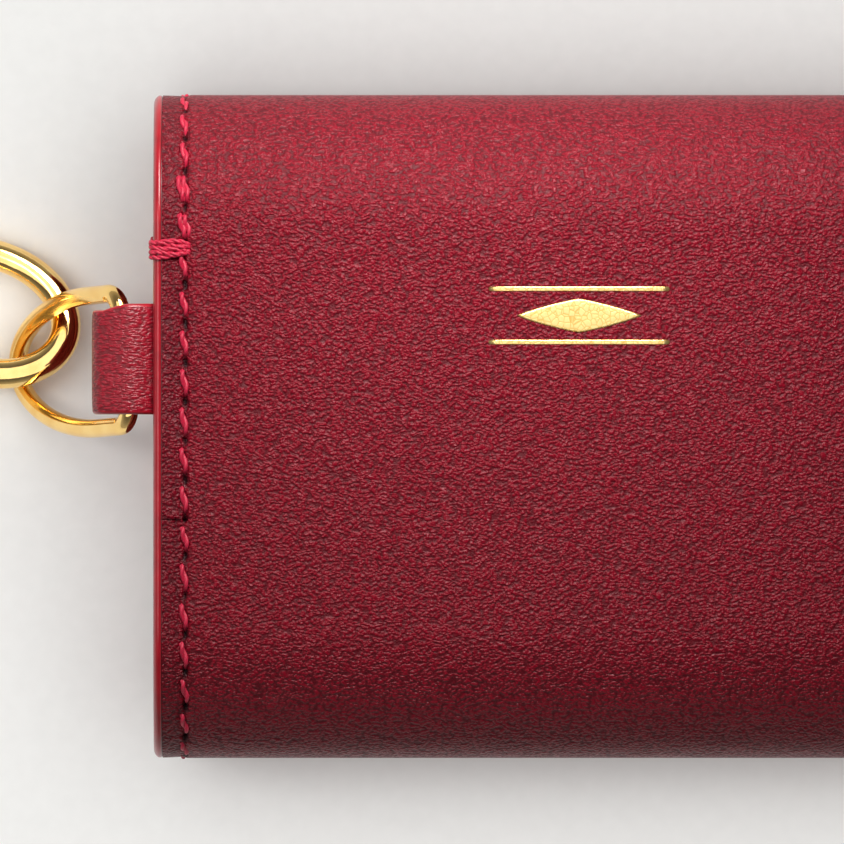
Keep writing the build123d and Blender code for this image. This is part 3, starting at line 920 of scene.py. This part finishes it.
def tack_runs(path, s, side, thick, turns=6):
    runs = []
    spread = [0.7, 1.3, 1.7, 1.85, 2.0, 2.1, 2.1, 2.1, 2.0, 1.6, 1.0]
    places = [(SEAM - 0.55, 0.95), (SEAM - 0.45, 0.25), (SEAM + 0.35, -0.08),
              (SEAM + 1.6, -0.06), (HALF_W - 0.75, -0.08), (HALF_W + 0.05, 0.35),
              (HALF_W + 0.22, thick / 2), (HALF_W + 0.05, thick - 0.2),
              (HALF_W - 0.75, thick + 0.12), (SEAM + 1.2, thick + 0.16),
              (SEAM - 0.2, thick + 0.1)]
    for k in range(turns):
        lane = (k - (turns - 1) / 2) / turns
        points = []
        for (x, depth), w in zip(places, spread):
            at = s + lane * w + 0.16 * math.sin(2.3 * k + 1.3 * x)
            y, z, ny, nz = path.at(at)
            rise = 0.05 * ((k % 2) * 2 - 1)
            points.append(Vector((side * x, y - ny * (depth - rise), z - nz * (depth - rise))))
        fine = smooth_run(points, 7)
        for phase in (0.0, math.pi):
            ply = []
            for i, p in enumerate(fine):
                ahead = (fine[min(i + 1, len(fine) - 1)] - fine[max(i - 1, 0)]).normalized()
                flat = Vector((0, 1, 0))
                rise = ahead.cross(flat).normalized()
                turn = phase + 0.55 * i + k
                ply.append(p + (flat * math.cos(turn) + rise * math.sin(turn)) * 0.13)
            runs.append((ply, [0.19] * len(ply), 6, 12.0))
    return runs


def smooth_run(points, steps):
    """Catmull-Rom curve through the points."""
    p = [Vector(q) for q in points]
    p = [p[0] * 2 - p[1]] + p + [p[-1] * 2 - p[-2]]
    out = []
    for i in range(1, len(p) - 2):
        for k in range(steps):
            t = k / steps
            out.append(0.5 * ((2 * p[i]) + (p[i + 1] - p[i - 1]) * t
                              + (2 * p[i - 1] - 5 * p[i] + 4 * p[i + 1] - p[i + 2]) * t * t
                              + (3 * p[i] - p[i - 1] - 3 * p[i + 1] + p[i + 2]) * t**3))
    return out + [p[-2]]


tacks = {}
for side, word in ((-1, "left"), (1, "right")):
    tacks[f"back_{word}"] = tubes_piece(
        f"tack_back_{word}", tack_runs(upper, TACK_S, side, WRAP + FLANGE), thread)
    tacks[f"front_{word}"] = tubes_piece(
        f"tack_front_{word}", tack_runs(lower, TACK_F, side, WRAP + FLANGE), thread)
print("tacks", sorted(tacks))

# %% [markdown]
# ## Ring tab
#
# A strip of the same calf goes once round the D-ring's bar and both its ends are sewn in under
# the back panel. It is a strip swept along the loop, with its own painted rims, and its upper
# corner is squeezed in by the ring.

# %% Ring tab
tab_lo, tab_hi = box_mm("ring_tab")
TAB_MID, TAB_HALF = (tab_lo[1] + tab_hi[1]) / 2, (tab_hi[1] - tab_lo[1]) / 2
TAB_Z = Z_BACK - WRAP - 0.6
TAB_ROOT = -47.6                # where the two layers part
DROOP = math.radians(18)        # the loop hangs a little under the ring's weight
LOOP_OUT, LOOP_R = 5.1, 2.5
TAB_THICK = 0.9
PINCH_FROM = -50.8              # the ring squeezes the corner beyond this x


class Loop:
    """The tab's outer line in the X-Z plane, as a smooth run of points."""

    def __init__(self, controls):
        self.points = smooth_run(controls, 8)
        self.lengths = [0.0]
        for a, b in zip(self.points, self.points[1:]):
            self.lengths.append(self.lengths[-1] + (b - a).length)
        self.length = self.lengths[-1]

    def at(self, s):
        s = min(max(s, 0.0), self.length - 1e-6)
        i = max(0, min(np.searchsorted(self.lengths, s, side="right") - 1, len(self.points) - 2))
        a, b = self.points[i], self.points[i + 1]
        t = (s - self.lengths[i]) / (b - a).length
        spot = a.lerp(b, t)

        def direction(j):
            lo, hi = self.points[max(j - 1, 0)], self.points[min(j + 1, len(self.points) - 1)]
            return (hi - lo).normalized()

        d = direction(i).lerp(direction(i + 1), t).normalized()
        return spot, d


def tab_point(s, t):
    """A point s along the drooping loop from its root and t above its middle."""
    c, k = math.cos(DROOP), math.sin(DROOP)
    return (TAB_ROOT - s * c - t * k, 0.0, TAB_Z - s * k + t * c)


controls = [(-44.4, 0, TAB_Z + 0.6), (-46.2, 0, TAB_Z + 0.6), (-47.7, 0, TAB_Z + 0.75),
            tab_point(1.2, 1.75), tab_point(2.5, 2.4), tab_point(3.9, 2.55)]
for k in range(0, 9):
    a = math.pi / 2 - math.pi * k / 8
    controls.append(tab_point(LOOP_OUT + LOOP_R * math.cos(a), LOOP_R * math.sin(a)))
controls += [tab_point(3.9, -2.55), tab_point(2.5, -2.4), tab_point(1.2, -1.75),
             (-47.7, 0, TAB_Z - 0.75), (-46.2, 0, TAB_Z - 0.6), (-44.4, 0, TAB_Z - 0.6)]
loop = Loop(controls)


def strip_on_loop(name):
    """Leather strip round the loop: a rectangle section with rolled painted sides."""
    section = []
    half, t = TAB_HALF, TAB_THICK
    for k in range(29):
        section.append((-half + 0.35 + (2 * half - 0.7) * k / 28, 0.0, 0))
    for k in range(1, 8):
        a = math.pi / 2 - math.pi * k / 8
        section.append((half - 0.35 + 0.35 * math.cos(a), t / 2 - t / 2 * math.sin(a), 1))
    for k in range(13):
        section.append((half - 0.35 - (2 * half - 0.7) * k / 12, t, 2))
    for k in range(1, 8):
        a = -math.pi / 2 - math.pi * k / 8
        section.append((-half + 0.35 + 0.35 * math.cos(a), t / 2 - t / 2 * math.sin(a), 1))
    count = 110
    vertices = []
    for i in range(count):
        s = loop.length * i / (count - 1)
        spot, d = loop.at(s)
        normal = Vector((d.z, 0, -d.x))
        thin = 0.68 if (s < 3.0 or s > loop.length - 3.0) else 1.0
        for y, depth, _ in section:
            pinch = 0.0
            if spot.x < PINCH_FROM and y > 0:
                pinch = 0.75 * min(1.0, (PINCH_FROM - spot.x) / 3.0) ** 1.5 * (y / half) ** 3
            fall = 0.10 * (abs(y) / half) ** 6
            p = spot - normal * (depth * thin + fall)
            vertices.append((p.x, TAB_MID + y - pinch, p.z))
    m = len(section)
    faces = sleeve_faces(0, count, m) + lids(0, count, m)
    sides = [a[2] if a[2] == b[2] else 1 for a, b in zip(section, section[1:] + section[:1])]
    index = sides * (count - 1) + [1, 1]
    return new_piece(name, vertices, faces, [strap, paint, lining], index, [0.0] * len(vertices))


tab = strip_on_loop("ring_tab_leather")
print("tab loop", round(loop.length, 1), "mm long, mid at y", TAB_MID)

# %% [markdown]
# ## Rings
#
# The D-ring is one length of 2.1 mm wire bent to a D and soldered inside the tab, and the
# sprung ring is thicker 3.4 mm wire bent to an oval. The D-ring is a circle swept along its
# smooth centre line. The sprung ring, with its cut ends and gate, comes whole from the model's own
# solids.

# %% D-ring
SLOPE, TURN = math.radians(58.3), math.radians(5.0)   # down to the table, and sideways
WIRE = 2.1
joints = {j["name"]: j for j in frame["record"]["behaviour"]["joints"]}
bar = Vector(joints["d_ring_hinge"]["pos_m"]) / MM
V = Vector((-math.sin(TURN), math.cos(TURN), 0))
plan = Vector((-math.cos(TURN), -math.sin(TURN), 0))
U = plan * math.cos(SLOPE) - Vector((0, 0, math.sin(SLOPE)))
UC, UA = 3.7 / math.cos(SLOPE), 8.7 / math.cos(SLOPE)   # straight arms, far arc's reach
VA, CR = 7.5, 2.4                                       # half width, corner radius


def ring_line():
    line = [(0.0, v) for v in np.linspace(-(VA - CR), VA - CR, 12, endpoint=False)]
    line += [(CR - CR * math.cos(a), VA - CR + CR * math.sin(a))
             for a in np.linspace(0, math.pi / 2, 14, endpoint=False)]
    line += [(u, VA) for u in np.linspace(CR, UC, 8, endpoint=False)]
    line += [(UC + UA * math.sin(a), VA * math.cos(a))
             for a in np.linspace(0, math.pi, 80, endpoint=False)]
    line += [(u, -VA) for u in np.linspace(UC, CR, 8, endpoint=False)]
    line += [(CR - CR * math.sin(a), -(VA - CR) - CR * math.cos(a))
             for a in np.linspace(0, math.pi / 2, 14, endpoint=False)]
    return line


def closed_wire(name, centre, across, radius, sides, material):
    """Round wire along a closed flat line of points; across is the line's plane normal."""
    n = len(centre)
    vertices = []
    for i, p in enumerate(centre):
        t = (centre[(i + 1) % n] - centre[i - 1]).normalized()
        u = t.cross(across).normalized()
        for k in range(sides):
            w = 2 * math.pi * k / sides
            vertices.append(p + (u * math.cos(w) + across * math.sin(w)) * radius)
    return new_piece(name, vertices, sleeve_faces(0, n, sides, closed=True), [material])


centre = [bar + U * u + V * v for u, v in ring_line()]
d_ring = closed_wire("d_ring_wire", centre, U.cross(V).normalized(), WIRE / 2, 40, gold)
print("D-ring faces", len(d_ring.data.polygons))

# %% [markdown]
# ## Gussets
#
# Each side is closed by a thin goatskin gusset, pleated outwards three times so that the pocket
# can open, and turned out at its rim where it is sewn under the wrap's edge. The pleats run from
# the mouth down and fade where the bottom fold closes in. The flange is one narrow strip that
# follows the inside of the wrap; the pleated wall is a grid that meets it.

# %% Gusset mesh
PLEAT_IN, PLEAT_OUT = 44.2, 47.3   # the pleats' valleys and crests, from the middle
FOLDS = 6                          # slopes across the three pleats
WALL_END, WALL_ROW = 34.8, 0.9     # where the pleated wall ends, and its rows
inside = WRAP + FLANGE


def wall_span(y):
    """Lowest and highest z inside the flange at height y."""
    if y >= flat_b:
        return Z_FRONT + inside, Z_BACK - inside
    best = []
    for s in np.linspace(0, lower.length, 900):
        py, pz, ny, nz = lower.at(s)
        if abs(py - ny * inside - y) < 0.12:
            best.append(pz - nz * inside)
    if not best:
        return mid_b - 0.3, mid_b + 0.3
    return min(best), max(best)


def gusset(name, side):
    rows = [MOUTH - 0.15 - WALL_ROW * k for k in range(int((MOUTH + WALL_END) / WALL_ROW))]
    rows.append(0.05 - WALL_END)
    across = 48
    good = []
    for y in rows:
        low, high = wall_span(y)
        fade = min(1.0, (high - low) / (Z_BACK - Z_FRONT - 2 * inside))
        line = []
        for k in range(across + 1):
            t = k / across
            wave = (0.5 - 0.5 * math.cos(math.pi * t * FOLDS)) ** 0.8
            x = PLEAT_IN + (PLEAT_OUT - PLEAT_IN) * wave * fade**0.6
            line.append((side * x, y, low + (high - low) * t))
        good.append(line)
    vertices = [(x + side * shift, y, z) for shift in (0.0, -FLANGE)
                for line in good for x, y, z in line]
    n, m = len(rows), across + 1
    faces = sheet_faces(0, n, m) + sheet_faces(n * m, n, m)
    edge = ([(0, k) for k in range(m)] + [(i, m - 1) for i in range(1, n)]
            + [(n - 1, k) for k in range(m - 2, -1, -1)] + [(i, 0) for i in range(n - 2, 0, -1)])
    for (a, b), (c, d) in zip(edge, edge[1:] + edge[:1]):
        p, q = a * m + b, c * m + d
        faces.append((p, q, q + n * m, p + n * m))
    index = [0] * len(faces)
    # flange: along the inside of the wrap from the back's mouth round to the front's mouth
    x_in, x_out = 43.8, HALF_W - 0.06
    section = [(x_in, 0.0), (x_out - 0.25, 0.0), (x_out - 0.05, 0.12), (x_out, 0.3),
               (x_out - 0.05, 0.48), (x_out - 0.25, FLANGE), (x_in, FLANGE)]
    spots = []
    for s in np.linspace(-(MOUTH - CUT_Y) + 0.2, lower.length - 0.2, 150):
        y, z, ny, nz = lower.at(s)
        drop = 0.0
        if side < 0 and nz > 0.99 and z > mid_b:
            drop = 1.25 / (1 + math.exp((abs(y - TAB_MID) - TAB_HALF - 0.6) / 0.35))
        spots.append((y, z, ny, nz, drop))
    base = len(vertices)
    c = len(section)
    for y, z, ny, nz, drop in spots:
        for x, d in section:
            depth = WRAP + d + drop
            vertices.append((side * x, y - ny * depth, z - nz * depth))
    faces += sleeve_faces(base, len(spots), c) + lids(base, len(spots), c)
    index += [1 if 1 <= k <= 4 else 0 for k in range(c)] * (len(spots) - 1) + [1, 1]
    return new_piece(name, vertices, faces, [lining, paint], index)


gussets = {word: gusset(f"gusset_{word}_goat", side) for side, word in ((-1, "left"), (1, "right"))}
for word, piece in gussets.items():
    print("gusset", word, len(piece.data.polygons), "faces")

# %% [markdown]
# ## Dividers
#
# Two stiff leather boards part the pocket in three. They are flat bands with painted rims, made
# by the same function as the wrap.

# %% Dividers


def divider(name, node):
    lo, hi = box_mm(node)
    mid = (lo[2] + hi[2]) / 2
    thick = hi[2] - lo[2]
    flat = Path([("line", (lo[1] + 0.45, hi[2]), (hi[1], hi[2]))], 1)
    reach = 0.45
    wide = hi[0] - reach
    xs = [-wide + 2 * wide * k / 60 for k in range(61)]
    ss = [flat.length * k / 44 * (1 - reach / flat.length) for k in range(45)]
    rim = [(0.1, 0.02, 0.0), (0.28, 0.1, 0.0), (0.4, 0.25, 0.0), (reach, thick / 2, 0.0),
           (0.4, thick - 0.25, 0.0), (0.28, thick - 0.1, 0.0), (0.1, thick - 0.02, 0.0)]
    return band(name, flat, xs, ss, thick, lambda x, s: (0.0, 0.0), rim, 2.6,
                [lining, paint, lining], cut_start=False)


dividers = {node: divider(f"{node}_board", node) for node in ("divider_front", "divider_back")}
print("dividers", sorted(dividers))

# %% [markdown]
# ## Foil ornament
#
# A lozenge between two fine bars, stamped into the back with a hot die. Each part is a thin
# plate with softened corners that lies just under the leather's face, in a shallow dent.

# %% Foil


POINTED = 1.7    # 1 is an ellipse, 2 a lozenge with straight sides


def foil_plate(name, node):
    """Thin plate over the node's outline, with its edge rolled under the leather's face."""
    lo, hi = box_mm(node)
    cx, cy = (lo[0] + hi[0]) / 2, (lo[1] + hi[1]) / 2
    hx, hy = (hi[0] - lo[0]) / 2, (hi[1] - lo[1]) / 2
    outline = []
    if node == "foil_lozenge":
        for k in range(48):
            a = 2 * math.pi * k / 48
            c, s = math.cos(a), math.sin(a)
            outline.append((math.copysign(abs(c) ** POINTED, c) * hx,
                            math.copysign(abs(s) ** POINTED, s) * hy))
    else:
        for sx, start in ((1, -90), (-1, 90)):
            for k in range(9):
                a = math.radians(start + 180 * k / 8)
                outline.append((sx * (hx - hy) + hy * math.cos(a), hy * math.sin(a)))
    top, low = Z_BACK + 0.03, Z_BACK - 0.08
    vertices, faces = [(cx, cy, top)], []
    rings = [(0.5, top), (0.9, top), (1.0, Z_BACK), (1.0, low)]
    n = len(outline)
    for scale, z in rings:
        vertices += [(cx + x * scale, cy + y * scale, z) for x, y in outline]
    for k in range(n):
        m = (k + 1) % n
        faces.append((0, 1 + k, 1 + m))
        for r in range(len(rings) - 1):
            a, b = 1 + r * n, 1 + (r + 1) * n
            faces.append((a + k, b + k, b + m, a + m))
    faces.append(tuple(1 + (len(rings) - 1) * n + k for k in range(n - 1, -1, -1)))
    return new_piece(name, vertices, faces, [foil])


foils = {node: foil_plate(f"{node}_gilt", node)
         for node in ("foil_lozenge", "foil_bar_top", "foil_bar_bottom")}
print("foil", sorted(foils))

# %% [markdown]
# ## Model parts that stay
#
# The magnetic snap, the sprung ring with its gate, pin and spring keep the model's own solids,
# which already have the right shape. They only get their finishes.

# %% Finishes on the model's parts
METALS = ("gate_ring", "gate", "gate_pin", "gate_spring")
for node, material in (("magnet_cup", gold), ("magnet", nickel), ("magnet_washer", nickel),
                       ("snap_plate", gold), ("snap_washer", nickel), ("gate_ring", gold),
                       ("gate", gold), ("gate_pin", nickel), ("gate_spring", nickel)):
    shown = frame["nodes"][node]
    for k in range(max(1, len(shown.material_slots))):
        if shown.material_slots:
            shown.material_slots[k].material = material
        else:
            shown.data.materials.append(material)
print("finished the model's parts")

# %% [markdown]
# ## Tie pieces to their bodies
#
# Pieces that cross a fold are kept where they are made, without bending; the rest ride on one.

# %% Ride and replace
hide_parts("back_panel", "back_interlining", "back_lining", "flap_panel",
            "flap_interlining", "flap_lining")
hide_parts("front_panel", "front_interlining", "front_lining")
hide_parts("thread_back_left", "thread_back_right", "thread_flap")
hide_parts("thread_front")
for piece in (wrap_upper, stitches_upper):
    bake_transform(piece)
for piece in (wrap_lower, stitches_lower):
    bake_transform(piece)
for word, piece in gussets.items():
    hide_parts(f"gusset_{word}")
    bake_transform(piece)
for word, piece in tacks.items():
    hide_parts(f"bar_tack_{word}")
    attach(piece, "back_shell" if word.startswith("back") else "front_shell")
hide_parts("ring_tab")
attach(tab, "back_shell")
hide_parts("d_ring")
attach(d_ring, "tab_ring")
for node, piece in (*dividers.items(), *foils.items()):
    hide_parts(node)
    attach(piece, f"card_{node}" if node in dividers else "back_shell")

# %% [markdown]
# ## Studio
#
# White paper below, walls that are dark overhead and pale at the sides, a small soft key close
# to the top fold, which makes the leather fall off from bright to deep red along its length,
# and a tall narrow panel on the left for the rings. The key would burn out the paper, so light
# linking keeps it off, and a wide lamp lights only the paper and the metal. The long lens, three
# metres straight above, keeps the sides almost hidden. The Standard view transform keeps the
# deep red as saturated as it is mixed.

# %% Floor, lights and camera


def floor():
    material, tree, surface = finish("paper_sweep_matte", Roughness=0.95)
    here = millimetres(tree)
    fibre = add(tree, "ShaderNodeTexNoise", {"Scale": 0.5, "Detail": 4.0}, {"Vector": here})
    colour = add(tree, "ShaderNodeValToRGB", None, {"Fac": fibre.outputs["Fac"]},
                 stops=((0.3, "#F3F3F0"), (0.7, "#F6F6F3")))
    connect(tree, surface, Base_Color=colour.outputs["Color"])
    mesh = bpy.data.meshes.new("floor")
    z = cad_box[0][2] - 0.0001
    mesh.from_pydata([(-2, -2, z), (2, -2, z), (2, 2, z), (-2, 2, z)], [], [(0, 1, 2, 3)])
    mesh.materials.append(material)
    sweep = bpy.data.objects.new("floor", mesh)
    bpy.context.scene.collection.objects.link(sweep)


def lamp(name, place, aim, size, power, tint="#FFFFFF", spread=180):
    data = bpy.data.lights.new(name, "AREA")
    data.shape, data.size, data.size_y = "RECTANGLE", size[0], size[1]
    data.energy = power
    data.color = linear(tint)[:3]
    data.spread = math.radians(spread)
    light = bpy.data.objects.new(name, data)
    light.location = place
    light.rotation_euler = (Vector(aim) - Vector(place)).to_track_quat("-Z", "Y").to_euler()
    bpy.context.scene.collection.objects.link(light)


def world():
    """Studio walls: dark overhead, where the camera hangs, and pale towards the sides."""
    bpy.context.scene.world = bpy.data.worlds.new("studio")
    studio = bpy.context.scene.world
    studio.use_nodes = True
    tree = studio.node_tree
    way = add(tree, "ShaderNodeTexCoord")
    parts = add(tree, "ShaderNodeSeparateXYZ", None, {"Vector": way.outputs["Generated"]})
    walls = add(tree, "ShaderNodeValToRGB", None, {"Fac": parts.outputs["Z"]},
                stops=((0.0, "#F4F2EE"), (0.35, "#B4B2AF"), (0.72, "#77757A"),
                       (0.95, "#2C2C2E")))
    backdrop = tree.nodes["Background"]
    connect(tree, backdrop, Color=walls.outputs["Color"])
    backdrop.inputs["Strength"].default_value = 0.5


floor()
world()
lamp("key", (-0.01, 0.13, 0.155), (-0.01, 0.035, 0.01), (0.09, 0.09), 0.15, "#FFFAF8", 80)
lamp("left_panel", (-0.35, 0.06, 0.44), (-0.05, 0.0, 0.0), (0.12, 0.4), 0.6)
lamp("paper_light", (0.0, 0.0, 0.9), (0.0, 0.0, 0.0), (1.6, 1.6), 11.6)
for name, state in (("paper_light", "INCLUDE"), ("key", "EXCLUDE")):
    group = bpy.data.collections.new(f"{name}_paper")
    group.objects.link(bpy.data.objects["floor"])
    if state == "INCLUDE":
        for piece in (d_ring, *foils.values(), *(frame["nodes"][n] for n in METALS)):
            group.objects.link(piece)
    for item in group.collection_objects:
        item.light_linking.link_state = state
    bpy.data.objects[name].light_linking.receiver_collection = group
bpy.context.scene.view_settings.view_transform = "Standard"

lens = bpy.data.cameras.new("camera")
camera = bpy.data.objects.new("camera", lens)
bpy.context.scene.collection.objects.link(camera)
HEIGHT, FOCUS_Z, VIEW_WIDTH = 3.0, 0.015, 0.0954
camera.location = (-0.0177, 0.0005, HEIGHT)
lens.sensor_width = 36
lens.lens = lens.sensor_width * (HEIGHT - FOCUS_Z) / VIEW_WIDTH
lens.clip_end = 20
bpy.context.scene.camera = camera
print("lens", round(lens.lens), "mm")
